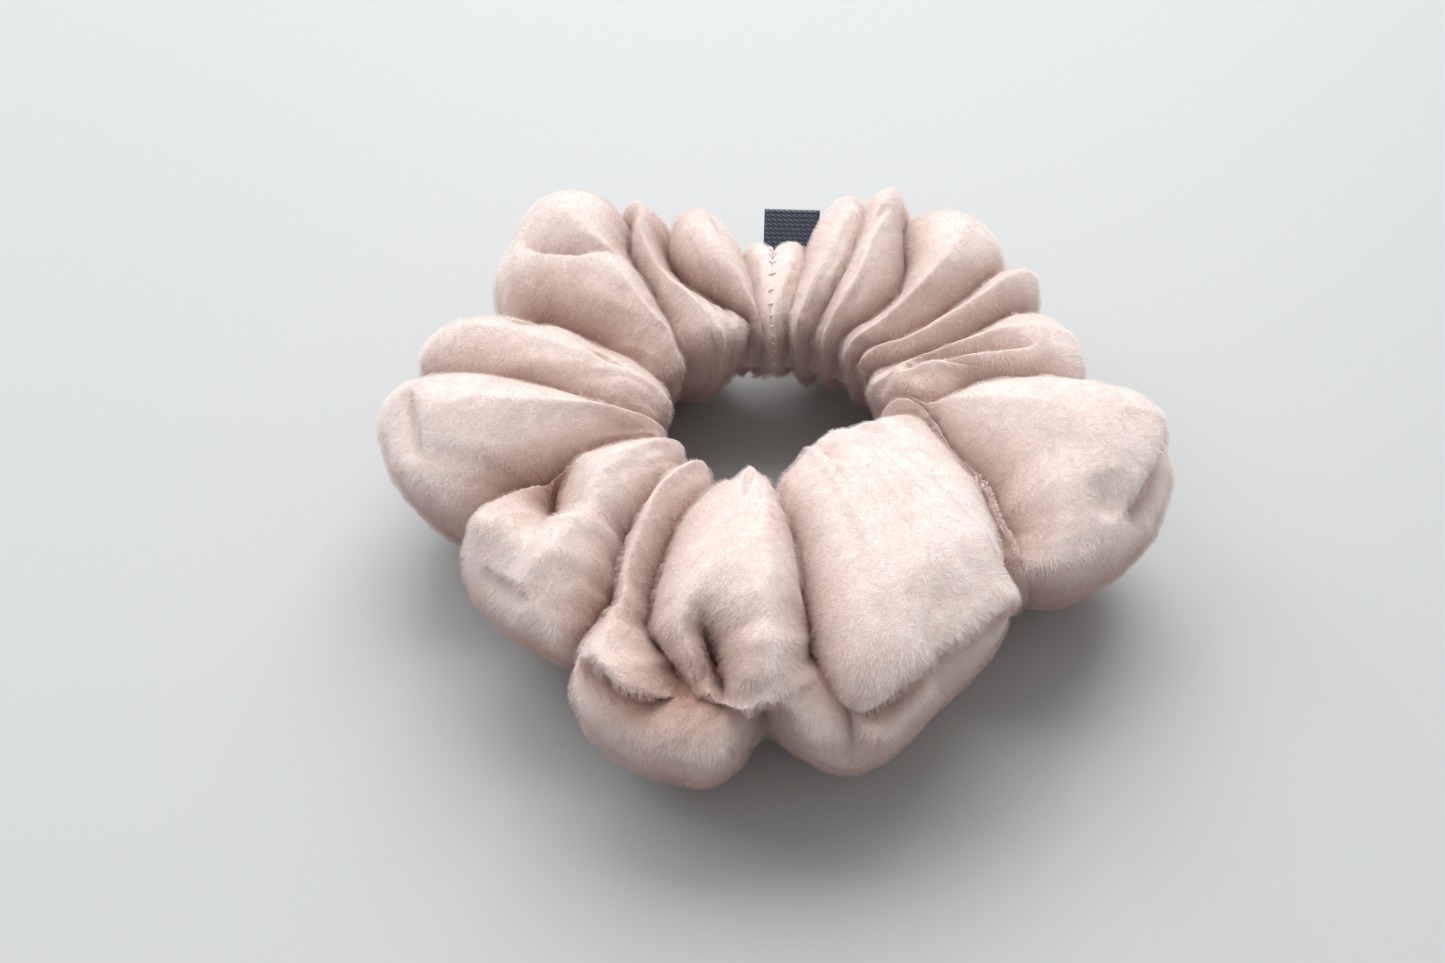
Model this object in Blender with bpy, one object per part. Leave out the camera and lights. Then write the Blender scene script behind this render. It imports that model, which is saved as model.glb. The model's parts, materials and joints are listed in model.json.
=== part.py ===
"""A plush velour scrunchie at rest on a table: +Z up, origin under the middle of its bounding box.

A tube of plush cloth is gathered along a loop of flat elastic. The cloth ring is divided at its
valleys into gathers, and each gather carries its own length of elastic and of the lengthwise seam,
so the loop can grow: every length slides away from the one before it along the ring.
Bearings are in degrees about +Z, counted from +X towards +Y. Lengths are in metres.
"""

import math

import bmesh
import bpy
from mathutils import Matrix, Vector

MM = 0.001

# Cloth: a tube of plush, gathered to this ring
CLOTH_THICKNESS = 2.0 * MM
HOLE_RADIUS = 15.5 * MM
NECK_INNER = 18.0 * MM
NECK_REACH_SHARE = 0.8
NECK_LOW, NECK_HIGH = 4.0 * MM, 34.0 * MM
FLOOR_DIP = -1.5 * MM
GATHER_GAP = 0.15 * MM
BOXINESS = 0.8
PUFF = 0.3

# Each gather from the closing seam round the ring: end bearing, reach from the centre, height
SEAM_START = 80.0
GATHERS = [
    (97.0, 50.0 * MM, 37.0 * MM),
    (118.0, 63.0 * MM, 42.0 * MM),
    (139.0, 73.0 * MM, 46.0 * MM),
    (154.0, 72.0 * MM, 45.0 * MM),
    (167.0, 66.0 * MM, 41.0 * MM),
    (181.0, 68.0 * MM, 43.0 * MM),
    (209.0, 74.0 * MM, 43.0 * MM),
    (238.0, 66.0 * MM, 42.0 * MM),
    (254.0, 75.0 * MM, 41.0 * MM),
    (277.0, 72.0 * MM, 45.0 * MM),
    (312.0, 71.0 * MM, 46.0 * MM),
    (325.0, 64.0 * MM, 44.0 * MM),
    (352.0, 77.0 * MM, 44.0 * MM),
    (381.0, 68.0 * MM, 42.0 * MM),
    (405.0, 71.0 * MM, 45.0 * MM),
    (424.0, 68.0 * MM, 45.0 * MM),
    (440.0, 64.0 * MM, 44.0 * MM),
]
SEAM_GATHER_LIFT = 2.0 * MM
RIB_SHARES = (0.0, 0.04, 0.2, 0.5, 0.8, 0.96, 1.0)
LOOP_STEP = 20

# Lengthwise seam: two layers of cloth turned into the tube, held by a line of stitches
FIN_HEIGHT = 13.0 * MM
FIN_DEPTH = 5.5 * MM
FIN_HALF_THICKNESS = 1.2 * MM
THREAD_RADIUS = 0.18 * MM
THREAD_GAP = 0.3 * MM
SEAM_THREAD_RADIUS = 22.0 * MM
STITCH_LENGTH = 2.4 * MM
STITCH_DIP = 0.15 * MM
CLOSING_STITCH_LENGTH = 3.2 * MM

# Flat elastic
ELASTIC_RADIUS = 27.0 * MM
ELASTIC_WIDTH = 6.0 * MM
ELASTIC_THICKNESS = 1.1 * MM
ELASTIC_HEIGHT = 20.0 * MM
OVERLAP_ANGLE = 15.0
ZIGZAG_TEETH = 7
ZIGZAG_WIDTH = 4.0 * MM

# Woven label, folded at its tip and caught by its two ends
LABEL_BEARING = 87.5
LABEL_WIDTH = 12.0 * MM
LABEL_LENGTH = 15.0 * MM
LABEL_PLY = 0.45 * MM
LABEL_SLIT = 0.5 * MM
LABEL_TILT = 40.0
LABEL_HINGE_RADIUS = 51.7 * MM
LABEL_HINGE_HEIGHT = 16.0 * MM
LABEL_THREAD_OFFSET = 2.2 * MM
LABEL_STITCH_LENGTH = 1.6 * MM

PLUSH = ((0.86, 0.70, 0.64, 1.0), 0.9)
ELASTIC_WHITE = ((0.88, 0.87, 0.84, 1.0), 0.75)
THREAD_PINK = ((0.84, 0.68, 0.62, 1.0), 0.6)
LABEL_NAVY = ((0.035, 0.05, 0.085, 1.0), 0.55)


def clear_scene():
    for obj in list(bpy.data.objects):
        bpy.data.objects.remove(obj)


def make_material(name, finish):
    colour, roughness = finish
    material = bpy.data.materials.new(name)
    material.use_nodes = True
    shader = material.node_tree.nodes["Principled BSDF"]
    shader.inputs["Base Color"].default_value = colour
    shader.inputs["Roughness"].default_value = roughness
    shader.inputs["Metallic"].default_value = 0.0
    return material


def polar(radius, bearing, height=0.0):
    angle = math.radians(bearing)
    return Vector((radius * math.cos(angle), radius * math.sin(angle), height))


def add_object(name, data, material, parent):
    data.materials.append(material)
    obj = bpy.data.objects.new(name, data)
    obj.parent = parent
    bpy.context.scene.collection.objects.link(obj)
    return obj


def add_mesh(name, bm, material, parent):
    bmesh.ops.recalc_face_normals(bm, faces=bm.faces)
    mesh = bpy.data.meshes.new(name)
    bm.to_mesh(mesh)
    bm.free()
    mesh.shade_smooth()
    mesh.set_sharp_from_angle(angle=math.radians(50))
    return add_object(name, mesh, material, parent)


def add_thread(name, points, material, parent, closed=False):
    """A thread along points, as a round tube."""
    curve = bpy.data.curves.new(name, "CURVE")
    curve.dimensions = "3D"
    curve.bevel_depth = THREAD_RADIUS
    curve.bevel_resolution = 1
    curve.use_fill_caps = True
    spline = curve.splines.new("POLY")
    spline.points.add(len(points) - 1)
    for point, place in zip(spline.points, points):
        point.co = (*place, 1.0)
    spline.use_cyclic_u = closed
    return add_object(name, curve, material, parent)


def rounded(value):
    """A sine or cosine pushed towards a square, so that a loop of cloth is fuller than an ellipse."""
    return math.copysign(abs(value) ** BOXINESS, value)


def half_chord(share):
    """How far out the loop reaches, as a share of its half width, this share of the way up or down."""
    power = 2 / BOXINESS
    return (1 - min(1.0, abs(share)) ** power) ** (1 / power)


def cross_section(puff, neck_reach, reach, height, lowest):
    """Inner and outer radius, low and high edge of the cloth where the gather is puffed this far."""
    inner = NECK_INNER + (HOLE_RADIUS - NECK_INNER) * puff
    outer = neck_reach + (reach - neck_reach) * puff
    low = NECK_LOW + (lowest - NECK_LOW) * puff
    high = NECK_HIGH + (height - NECK_HIGH) * puff
    return inner, outer, low, high


def cloth_loop(section, bearing, inset):
    """One closed loop of cloth in the upright plane at a bearing. The inset loop carries the seam's fin."""
    inner, outer, low, high = section
    middle, half_width = (inner + outer) / 2, (outer - inner) / 2 - inset
    centre, half_height = (low + high) / 2, (high - low) / 2 - inset
    floor = inset
    points = []
    for angle in range(0, 360, LOOP_STEP):
        if angle == 200:
            tip = FIN_DEPTH if inset else 0.0
            for side, depth in ((3, 0.0), (1, tip), (-1, tip), (-3, 0.0)):
                height = FIN_HEIGHT + FIN_HALF_THICKNESS * (math.copysign(1, side) if inset else side / 3)
                radius = middle - half_width * half_chord((height - centre) / half_height)
                points.append(polar(radius + depth, bearing, height))
            continue
        turn = math.radians(angle)
        radius = middle + half_width * rounded(math.cos(turn))
        height = centre + half_height * rounded(math.sin(turn))
        points.append(polar(radius, bearing, max(height, floor)))
    return points


def skin(bm, rounds):
    """Faces between each round of corners and the next, and back from the last to the first."""
    for first, second in zip(rounds, rounds[1:] + rounds[:1]):
        pairs = list(zip(first, second))
        for (a, b), (c, d) in zip(pairs, pairs[1:] + pairs[:1]):
            bm.faces.new((a, c, d, b))


def gather_shell(ribs):
    """An open-ended sleeve of cloth through ribs, each (section, bearing), with the cloth's thickness."""
    bm = bmesh.new()
    outside = [[bm.verts.new(p) for p in cloth_loop(section, at, 0.0)] for section, at in ribs]
    inside = [[bm.verts.new(p) for p in cloth_loop(section, at, CLOTH_THICKNESS)] for section, at in ribs]
    skin(bm, outside + inside[::-1])
    return bm


def neck_reach(number):
    """How far out the cloth reaches in the valley before gather number, at a share of its lower neighbour."""
    return NECK_REACH_SHARE * min(GATHERS[number - 1][1], GATHERS[number % len(GATHERS)][1])


def gather_ribs(number, start, lowest):
    end, reach, height = GATHERS[number]
    gap = math.degrees(GATHER_GAP / NECK_INNER)
    low, high = start + gap, end - gap
    ribs = []
    for share in RIB_SHARES:
        puff = max(0.0, math.sin(math.pi * share)) ** PUFF
        neck = neck_reach(number) * (1 - share) + neck_reach(number + 1) * share
        ribs.append((cross_section(puff, neck, reach, height, lowest), low + (high - low) * share))
    return ribs


def elastic_arc(radius, start, end):
    """A length of flat elastic bent round the ring, its width upright."""
    bm = bmesh.new()
    corners = []
    for across, up in ((-1, -1), (1, -1), (1, 1), (-1, 1)):
        distance = radius + across * ELASTIC_THICKNESS / 2
        corners.append(bm.verts.new(polar(distance, start, ELASTIC_HEIGHT + up * ELASTIC_WIDTH / 2)))
    section = bm.faces.new(corners)
    steps = max(2, round((end - start) / 6))
    bmesh.ops.spin(
        bm, geom=[section], cent=(0, 0, 0), axis=(0, 0, 1),
        angle=math.radians(end - start), steps=steps, use_merge=False,
    )
    return bm


def running_stitch(length, stitch, place):
    """Points of a running stitch: place(distance, dip) gives where the thread lies."""
    count = max(2, round(length / stitch))
    points = []
    for step in range(2 * count + 1):
        dip = STITCH_DIP if step % 2 else -STITCH_DIP
        points.append(place(length * step / (2 * count), dip))
    return points


def seam_thread_points(start, end):
    """The lengthwise seam's thread, on the upper side of the fin."""
    gap = math.degrees(GATHER_GAP / SEAM_THREAD_RADIUS)
    low, high = start + 2 * gap, end - 2 * gap
    arc = math.radians(high - low) * SEAM_THREAD_RADIUS
    top = FIN_HEIGHT + FIN_HALF_THICKNESS + THREAD_GAP + THREAD_RADIUS + STITCH_DIP

    def place(distance, dip):
        return polar(SEAM_THREAD_RADIUS, low + (high - low) * distance / arc, top + dip)

    return running_stitch(arc, STITCH_LENGTH, place)


def closing_thread_points(section, bearing):
    """The thread that closes the tube: stitches once round the cloth at the seam."""
    off = -(THREAD_GAP + THREAD_RADIUS + STITCH_DIP)
    inner, outer, low, high = section
    perimeter = 2 * ((outer - inner) + (high - low)) * 0.87
    count = round(perimeter / CLOSING_STITCH_LENGTH)
    points = []
    for step in range(2 * count):
        turn = math.pi * step / count
        grow = -off + (STITCH_DIP if step % 2 else -STITCH_DIP)
        radius = (inner + outer) / 2 + ((outer - inner) / 2 + grow) * rounded(math.cos(turn))
        height = (low + high) / 2 + ((high - low) / 2 + grow) * rounded(math.sin(turn))
        points.append(polar(radius, bearing, height))
    return points


def zigzag_points(radius, start, end):
    points = []
    for tooth in range(ZIGZAG_TEETH + 1):
        side = 1 if tooth % 2 else -1
        bearing = start + (end - start) * tooth / ZIGZAG_TEETH
        points.append(polar(radius, bearing, ELASTIC_HEIGHT + side * ZIGZAG_WIDTH / 2))
    return points


def folded_label():
    """The label lies along local X, its width along local Y: two plies that meet in a round fold."""
    half = LABEL_PLY + LABEL_SLIT / 2
    outline = [(0.0, -half)]
    straight = LABEL_LENGTH - half
    for step in range(7):
        turn = math.radians(-90 + 30 * step)
        outline.append((straight + half * math.cos(turn), half * math.sin(turn)))
    outline += [(0.0, half), (0.0, half - LABEL_PLY)]
    slit = LABEL_SLIT / 2
    for step in range(5):
        turn = math.radians(90 - 45 * step)
        outline.append((straight + slit * math.cos(turn), slit * math.sin(turn)))
    outline.append((0.0, -slit))
    bm = bmesh.new()
    face = bm.faces.new([bm.verts.new((along, -LABEL_WIDTH / 2, up)) for along, up in outline])
    grown = bmesh.ops.extrude_face_region(bm, geom=[face])
    moved = [item for item in grown["geom"] if isinstance(item, bmesh.types.BMVert)]
    bmesh.ops.translate(bm, verts=moved, vec=(0, LABEL_WIDTH, 0))
    return bm


def label_thread_points():
    """A row of stitches across the label, just above its upper ply, beside the seam."""
    lift = LABEL_PLY + LABEL_SLIT / 2 + THREAD_GAP + THREAD_RADIUS + STITCH_DIP
    reach = LABEL_WIDTH - 4 * THREAD_RADIUS

    def place(distance, dip):
        return Vector((LABEL_THREAD_OFFSET, distance - reach / 2, lift + dip))

    return running_stitch(reach, LABEL_STITCH_LENGTH, place)


def add_gathers(plush, elastic, thread, ring):
    start = SEAM_START
    for number, (end, _, _) in enumerate(GATHERS):
        ribs = gather_ribs(number, start, FLOOR_DIP if number else SEAM_GATHER_LIFT)
        tag = f"{number:02d}"
        add_mesh(f"cover_gather_{tag}", gather_shell(ribs), plush, ring)
        gap = math.degrees(GATHER_GAP / ELASTIC_RADIUS)
        length = elastic_arc(ELASTIC_RADIUS, start + gap, end - gap)
        add_mesh(f"elastic_length_{tag}", length, elastic, ring)
        add_thread(f"seam_thread_{tag}", seam_thread_points(start, end), thread, ring)
        start = end


def add_closing(elastic, thread, ring):
    """What is only at the closing seam: the elastic's lapped end and the threads that hold the joins."""
    end, reach, height = GATHERS[0]
    middle = (SEAM_START + end) / 2
    lap_radius = ELASTIC_RADIUS + ELASTIC_THICKNESS + THREAD_GAP
    lap_start, lap_end = middle - OVERLAP_ANGLE / 2, middle + OVERLAP_ANGLE / 2
    add_mesh("elastic_lapped_end", elastic_arc(lap_radius, lap_start, lap_end), elastic, ring)
    beside = ELASTIC_THICKNESS / 2 + THREAD_GAP + THREAD_RADIUS
    outer = zigzag_points(lap_radius + beside, lap_start + 1, lap_end - 1)
    inner = zigzag_points(ELASTIC_RADIUS - beside, lap_start + 1, lap_end - 1)
    add_thread("elastic_join_thread_outer", outer, thread, ring)
    add_thread("elastic_join_thread_inner", inner, thread, ring)
    section = cross_section(1.0, reach, reach, height, SEAM_GATHER_LIFT)
    around = closing_thread_points(section, middle)
    add_thread("closing_seam_thread", around, thread, ring, closed=True)


def add_label(navy, thread, ring):
    hinge = bpy.data.objects.new("label_hinge", None)
    hinge.parent = ring
    hinge.location = polar(LABEL_HINGE_RADIUS, LABEL_BEARING, LABEL_HINGE_HEIGHT)
    turn = Matrix.Rotation(math.radians(LABEL_BEARING), 3, "Z")
    tilt = Matrix.Rotation(math.radians(-LABEL_TILT), 3, "Y")
    hinge.rotation_euler = (turn @ tilt).to_euler()
    bpy.context.scene.collection.objects.link(hinge)
    add_mesh("label", folded_label(), navy, hinge)
    add_thread("label_thread", label_thread_points(), thread, hinge)


def centre_on_origin(ring):
    """Moves the whole ring so that the origin is under the middle of its bounding box."""
    bpy.context.view_layer.update()
    graph = bpy.context.evaluated_depsgraph_get()
    corners = []
    for obj in bpy.context.scene.objects:
        if obj.type == "EMPTY":
            continue
        shown = obj.evaluated_get(graph)
        mesh = shown.to_mesh()
        corners += [shown.matrix_world @ vertex.co for vertex in mesh.vertices]
        shown.to_mesh_clear()
    middle = [(min(c[k] for c in corners) + max(c[k] for c in corners)) / 2 for k in (0, 1)]
    ring.location = (-middle[0], -middle[1], 0.0)
    bpy.context.view_layer.update()


def main():
    clear_scene()
    ring = bpy.data.objects.new("scrunchie", None)
    bpy.context.scene.collection.objects.link(ring)
    plush = make_material("plush", PLUSH)
    elastic = make_material("elastic", ELASTIC_WHITE)
    thread = make_material("thread", THREAD_PINK)
    navy = make_material("label", LABEL_NAVY)
    add_gathers(plush, elastic, thread, ring)
    add_closing(elastic, thread, ring)
    add_label(navy, thread, ring)
    centre_on_origin(ring)


main()
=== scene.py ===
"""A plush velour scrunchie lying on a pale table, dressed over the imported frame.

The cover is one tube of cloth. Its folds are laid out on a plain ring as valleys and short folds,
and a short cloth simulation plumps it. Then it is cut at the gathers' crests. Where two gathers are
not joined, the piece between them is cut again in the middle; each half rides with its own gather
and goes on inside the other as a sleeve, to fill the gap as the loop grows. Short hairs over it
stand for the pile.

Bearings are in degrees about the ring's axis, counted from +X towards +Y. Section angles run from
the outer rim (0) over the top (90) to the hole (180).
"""

import json
import math

import bmesh
import bpy
import numpy as np
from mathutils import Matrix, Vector

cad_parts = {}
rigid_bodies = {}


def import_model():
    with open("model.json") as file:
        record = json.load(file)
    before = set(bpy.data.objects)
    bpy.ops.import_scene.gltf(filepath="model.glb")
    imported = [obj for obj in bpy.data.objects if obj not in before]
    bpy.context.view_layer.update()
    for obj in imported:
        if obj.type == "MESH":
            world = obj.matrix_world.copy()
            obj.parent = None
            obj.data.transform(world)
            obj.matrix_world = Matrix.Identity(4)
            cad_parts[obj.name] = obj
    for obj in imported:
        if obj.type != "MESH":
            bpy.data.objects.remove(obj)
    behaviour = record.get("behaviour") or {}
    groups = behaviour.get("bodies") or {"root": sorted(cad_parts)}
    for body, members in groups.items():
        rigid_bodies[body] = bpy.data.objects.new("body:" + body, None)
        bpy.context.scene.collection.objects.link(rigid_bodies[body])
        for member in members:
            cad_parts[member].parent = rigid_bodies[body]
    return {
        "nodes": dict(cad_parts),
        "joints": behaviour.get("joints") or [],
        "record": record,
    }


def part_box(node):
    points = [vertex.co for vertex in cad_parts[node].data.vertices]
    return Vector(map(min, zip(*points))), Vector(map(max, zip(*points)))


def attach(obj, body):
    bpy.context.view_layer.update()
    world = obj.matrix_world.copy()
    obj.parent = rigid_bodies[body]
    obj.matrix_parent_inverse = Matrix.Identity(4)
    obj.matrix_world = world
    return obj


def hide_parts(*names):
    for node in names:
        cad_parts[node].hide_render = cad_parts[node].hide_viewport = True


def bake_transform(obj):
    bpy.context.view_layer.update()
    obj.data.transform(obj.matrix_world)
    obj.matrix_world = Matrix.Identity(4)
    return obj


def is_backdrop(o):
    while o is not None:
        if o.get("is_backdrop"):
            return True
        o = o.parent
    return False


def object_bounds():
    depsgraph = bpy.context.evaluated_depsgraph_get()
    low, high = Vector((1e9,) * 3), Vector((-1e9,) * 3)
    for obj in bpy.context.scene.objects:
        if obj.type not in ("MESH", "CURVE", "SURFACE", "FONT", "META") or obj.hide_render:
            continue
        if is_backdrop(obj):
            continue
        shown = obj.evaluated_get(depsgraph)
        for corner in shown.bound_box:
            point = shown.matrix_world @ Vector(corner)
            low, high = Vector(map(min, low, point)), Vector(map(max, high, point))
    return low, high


MM = 0.001

# The plain ring under the folds, in millimetres: (bearing, reach from the axis, height)
HOLE = 15.5
UNDERSIDE = -1.5
SQUARENESS = 0.80
WIDEST = 32.0
TUCK_OUTSIDE, TUCK_INSIDE, TUCK_CURVE = 12.0, 9.0, 1.5
LEAN_FROM, LEAN_INSIDE = 22.0, 5.0
WAIST_BEARING, WAIST_SPREAD = 88.5, 5.0
WAIST_RISE, WAIST_HOLE = 13.0, 4.0
OUTLINE = [
    (88, 44, 34), (97, 55, 38), (107, 63, 41), (118, 70, 44), (126, 76, 46), (133, 75, 45), (139, 70, 44),
    (146, 70, 44), (155, 64, 41), (161, 66, 41), (168, 74, 42), (175, 72, 42), (182, 74, 45),
    (190, 72, 44), (200, 69, 42), (207, 67, 41), (216, 69, 42), (226, 67, 42), (233, 67, 42),
    (241, 76, 41), (252, 80, 40), (262, 80, 43), (268, 71, 45), (274, 73, 45), (280, 78, 45),
    (286, 73, 46), (292, 68, 46), (300, 65, 46), (308, 65, 45), (314, 62, 44), (320, 65, 43),
    (330, 70, 43), (340, 74, 44), (350, 76, 44), (356, 69, 43), (362, 63, 42), (376, 61, 42),
    (386, 64, 44), (396, 67, 45), (405, 66, 45), (414, 66, 45), (424, 70, 46), (434, 63, 43),
    (442, 52, 38),
]

# Valleys run once round the tube: width in millimetres, then (section angle, bearing, depth)
VALLEYS = {
    "seam": (1.6, [(0, 88.5, 2), (90, 88.5, 2.5), (180, 88.5, 2.5), (270, 88.5, 2)]),
    "seam_left": (4.0, [(0, 97, 7), (45, 97, 8), (90, 96, 7), (150, 96, 6), (180, 96, 6), (270, 97, 6)]),
    "back_hollow": (4.5, [(0, 110, 8), (60, 112, 11), (80, 116, 13), (97, 119, 14), (107, 117, 15),
                          (117, 112, 15), (126, 105, 12), (140, 102, 8), (180, 103, 7), (270, 107, 8)]),
    "back_left": (4.0, [(0, 120, 8), (60, 121, 11), (75, 124, 12), (96, 130, 11), (108, 133, 10),
                        (118, 136, 9), (130, 138, 8), (150, 140, 8), (180, 138, 7), (270, 130, 8)]),
    "left_hollow": (5.6, [(0, 156, 10), (45, 153, 16), (62, 153, 20), (75, 154, 20), (92, 155, 15),
                          (112, 157, 10), (150, 160, 8), (180, 158, 7), (270, 156, 9)]),
    "left": (4.5, [(0, 173, 9), (30, 174, 12), (58, 177, 12), (85, 180, 11), (98, 184, 10), (110, 188, 9),
                   (130, 192, 8), (150, 193, 8), (180, 190, 7), (270, 180, 9)]),
    "left_front": (5.0, [(0, 207, 13), (32, 208, 17), (52, 206, 17), (70, 205, 15), (90, 207, 12),
                         (108, 205, 10), (125, 204, 9), (150, 206, 8), (180, 206, 8), (270, 206, 10)]),
    "front_left": (4.2, [(0, 239, 12), (30, 238, 15), (43, 238, 17), (55, 238.5, 17), (70, 237, 15),
                         (79, 236.5, 13), (92, 234, 10), (103, 231, 8), (113, 230, 7), (130, 228, 7),
                         (150, 227, 8), (180, 226, 7), (270, 232, 9)]),
    "front_hollow": (4.6, [(-30, 266, 3), (5, 265, 9), (20, 263, 19), (30, 260.5, 25), (39, 257.5, 26),
                           (48, 255, 25), (55, 252.5, 21), (63, 250.5, 18), (72, 248.5, 17),
                           (80, 247, 16), (95, 245.5, 12), (105, 244, 10), (120, 244, 9), (150, 245, 8),
                           (180, 245, 8), (270, 255, 8)]),
    "front": (4.2, [(-20, 280, 0), (2, 280, 6), (12, 279, 14), (22, 277.5, 20), (30, 276.5, 19),
                    (45, 276, 16), (60, 276, 14), (90, 275, 11), (105, 273.5, 9), (130, 272, 8),
                    (180, 272, 8), (270, 277, 8), (310, 280, 2)]),
    "front_right": (4.2, [(0, 311, 12), (25, 312.5, 16), (37, 313, 16), (50, 314.5, 13), (72, 316.5, 11),
                          (87, 321.5, 10), (103, 327, 9), (115, 333, 9), (130, 339, 8), (150, 338, 8),
                          (180, 330, 8), (270, 312, 9)]),
    "right_front": (3.6, [(15, 316, 4), (35, 319, 7), (50, 321, 14), (67, 322.5, 17), (78, 325, 18),
                          (89, 329, 16), (104, 334, 12), (118, 343, 9), (135, 350, 8), (150, 352, 7),
                          (180, 350, 6), (270, 335, 5)]),
    "right": (4.2, [(0, 361, 11), (60, 361, 12), (88, 360, 12), (100, 357, 11), (112, 351, 10),
                    (125, 352, 8), (150, 358, 7), (180, 360, 7), (270, 361, 9)]),
    "right_back": (4.2, [(0, 25, 9), (60, 23, 10), (76, 22, 10), (104, 19, 10), (130, 18, 9),
                         (160, 24, 7), (180, 25, 7), (270, 25, 9)]),
    "back_right": (4.2, [(0, 38, 8), (60, 35, 9), (85, 32, 9), (105, 30, 9), (123, 30, 8), (150, 36, 7),
                         (180, 38, 7), (270, 38, 8)]),
    "back": (4.5, [(0, 60, 8), (60, 58, 10), (90, 50, 11), (101, 46, 11), (122, 46, 9), (145, 51, 8),
                   (180, 54, 7), (270, 58, 8)]),
    "back_seam": (4.0, [(0, 70, 5), (60, 69, 6), (75, 68, 6), (95, 66, 7), (112, 65, 7), (130, 66, 8),
                        (160, 68, 7), (180, 68, 7), (270, 69, 6)]),
    "seam_right": (4.0, [(0, 80, 7), (60, 80, 8), (90, 79, 7), (120, 80, 6), (150, 81, 6), (180, 81, 6),
                         (270, 80, 6)]),
}

# Short folds: width and depth in millimetres, then (bearing, section angle); a negative depth is a lip
FOLDS = [
    # the mouths at the right end, the tip of the front and its right edge
    (4.0, 19, [(354, 32), (348, 30), (342, 28), (335, 25)]),
    (5.0, -4, [(353, 43), (346, 41), (339, 37)]),
    (9.0, 2.5, [(334, 57), (331, 45), (328, 36)]),
    (3.5, 4, [(313, 38), (316, 38), (320, 36)]),
    (4.0, 15, [(290, 21), (296, 19), (302, 17), (309, 16)]),
    (4.5, -4, [(291, 33), (296, 31), (301, 29), (308, 27)]),
    (4.5, 12, [(277, 24), (280, 17), (285, 15), (290, 19)]),
    (4.0, -2.5, [(280, 5), (286, 8), (291, 12)]),
    # the mouth of the big front lobe, the flap beside it and the gap under that
    (5.2, 22, [(259, 79), (261, 69), (262.5, 60), (263, 52), (263, 42)]),
    (7.5, 11, [(259, 72), (259, 58), (260, 45)]),
    (4.0, -5, [(265.5, 66), (266.5, 56), (266.5, 44), (267, 36)]),
    (4.5, -3, [(254, 68), (256, 54), (260, 42), (264, 32)]),
    (4.0, 18, [(268, -35), (268, 0), (267.5, 12), (267, 24)]),
    # the hollow and rim under the lobe left of it
    (6.5, 19, [(240, 23), (247, 22), (252, 21), (257, 20), (264, 15)]),
    (5.0, -3, [(243, 7), (250, 8), (257, 6), (263, 5)]),
    (5.0, 9, [(247, 82), (246, 72), (245, 63)]),
    (6.0, -4, [(249, 50), (248, 38), (247, 33)]),
    # the pocket at the front left
    (7.4, 22, [(211, 92), (214, 81), (217, 74), (220.5, 65)]),
    (6.5, 10, [(220, 68), (216, 66), (212, 67)]),
    (5.0, -3, [(211, 44), (217, 46), (223, 54)]),
    (4.5, 3, [(221, 24), (226, 23), (231, 24)]),
    (3.0, 3, [(229, 108), (232, 98), (233, 86)]),
    (4.5, 4, [(184, 42), (190, 36), (197, 30)]),
    # the left back
    (4.0, 12, [(161, 92), (163, 82), (165, 72)]),
    (3.5, 11, [(140, 40), (139, 60), (137, 78), (133, 92)]),
    (8.0, 5, [(112, 82), (112, 95), (110, 104)]),
    (3.5, 6, [(170, 100), (172, 112), (176, 122)]),
    (3.5, 4, [(124, 118), (124, 130), (122, 140)]),
    (3.0, 4, [(147, 128), (148, 108), (147, 92)]),
    # the right back
    (4.0, 11, [(7, 126), (10, 110), (11, 90), (9, 66)]),
    (3.2, 7, [(5, 112), (4, 98), (4, 80)]),
    (6.0, 5, [(64, 104), (63, 84), (62, 70)]),
    (3.5, 5, [(15, 120), (17, 100), (17, 80)]),
    (3.5, 5, [(43, 125), (40, 105), (42, 80)]),
    (3.0, 4, [(73, 140), (72, 115), (73, 95)]),
    # small pulls down the hole side
    (3.0, 5, [(292, 160), (293, 130), (290, 112)]),
    (3.0, 5, [(262, 150), (261, 125), (260, 108)]),
    (3.0, 4, [(310, 150), (312, 128), (313, 108)]),
    (3.0, 4, [(215, 165), (217, 130), (220, 112)]),
    (3.0, 4, [(180, 165), (177, 140), (174, 126)]),
]
VALLEY_DEPTH, VALLEY_WIDTH = 1.2, 1.12
SIDE_PULL = 0.30
FOLD_REACH = 45.0

# Smoothing: the outline in steps of bearing, a valley in steps of section angle, a short fold's points
OUTLINE_STEP, OUTLINE_SPREAD, OUTLINE_SOFTNESS = 0.5, 8, 3.0
VALLEY_STEP = 7.5
FOLD_POINTS = 13
FOLD_FADE_FROM, FOLD_FADE_CURVE = 0.08, 0.7

# How far above the table the folds stop, and the finished cloth, in millimetres
FOLD_CLEARANCE, CLOTH_CLEARANCE = 0.4, 0.3

# Grids over the tube: rows round its section, columns round the ring
SIM_COLUMNS, SIM_ROWS = 240, 54
FINE_COLUMNS, FINE_ROWS = 720, 168
SIM_SCALE = 10.0
SIM_FRAMES = 8
SIM_SHARE = 0.25
SIM_GROWTH = 0.05
SIM_SELF_GAP = 1.2 * MM
HELD_SECTIONS, HELD_DEPTH = 25, 5.0
SMOOTHINGS = 4

# Pile
PILE_LENGTH = 1.3 * MM
PILE_GUIDES = 9000
PILE_STRANDS_PER_GUIDE = 60
PILE_RADIUS = 0.028 * MM

# The camera looks down at the front from this far, this high
LENS, SENSOR = 35.0, 36.0
CAMERA_TARGET = Vector((-9.4, -12.2, 20.0)) * MM
CAMERA_DISTANCE = 258 * MM
CAMERA_ELEVATION = 47.0

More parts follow.
